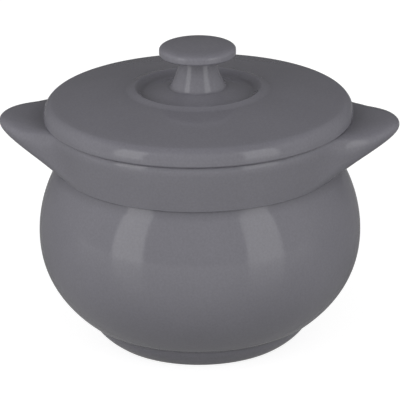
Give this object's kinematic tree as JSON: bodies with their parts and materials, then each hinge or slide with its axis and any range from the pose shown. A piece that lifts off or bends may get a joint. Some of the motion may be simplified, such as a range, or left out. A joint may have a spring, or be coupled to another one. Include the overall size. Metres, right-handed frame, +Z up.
{
  "type": "lidded soup bowl",
  "caption": "Round-bellied glazed soup bowl on a foot ring, with side lugs at the rim and a loose domed lid that lifts off by a mushroom knob.",
  "frame": {"origin": "middle of the foot ring's base, on the surface that the bowl stands on", "axes": "+Z up, along the bowl's axis and the way the lid lifts; +X towards the right-hand lug, with the lugs in line along X; -Y faces the viewer"},
  "size_m": [0.1418, 0.115, 0.1085],
  "materials": {
    "bowl_glaze": "smooth satin-gloss grey glaze",
    "lid_glaze": "smooth satin-gloss grey glaze"
  },
  "bodies": {
    "bowl": {"bowl_body": "bowl_glaze", "left_lug": "bowl_glaze", "right_lug": "bowl_glaze"},
    "lid": {"lid_plate": "lid_glaze", "lid_knob": "lid_glaze"}
  },
  "joints": [
    {"name": "lid_lift", "type": "slide", "parent": "bowl", "child": "lid", "axis": [0, 0, 1], "range_m": [0, 0.07]}
  ]
}
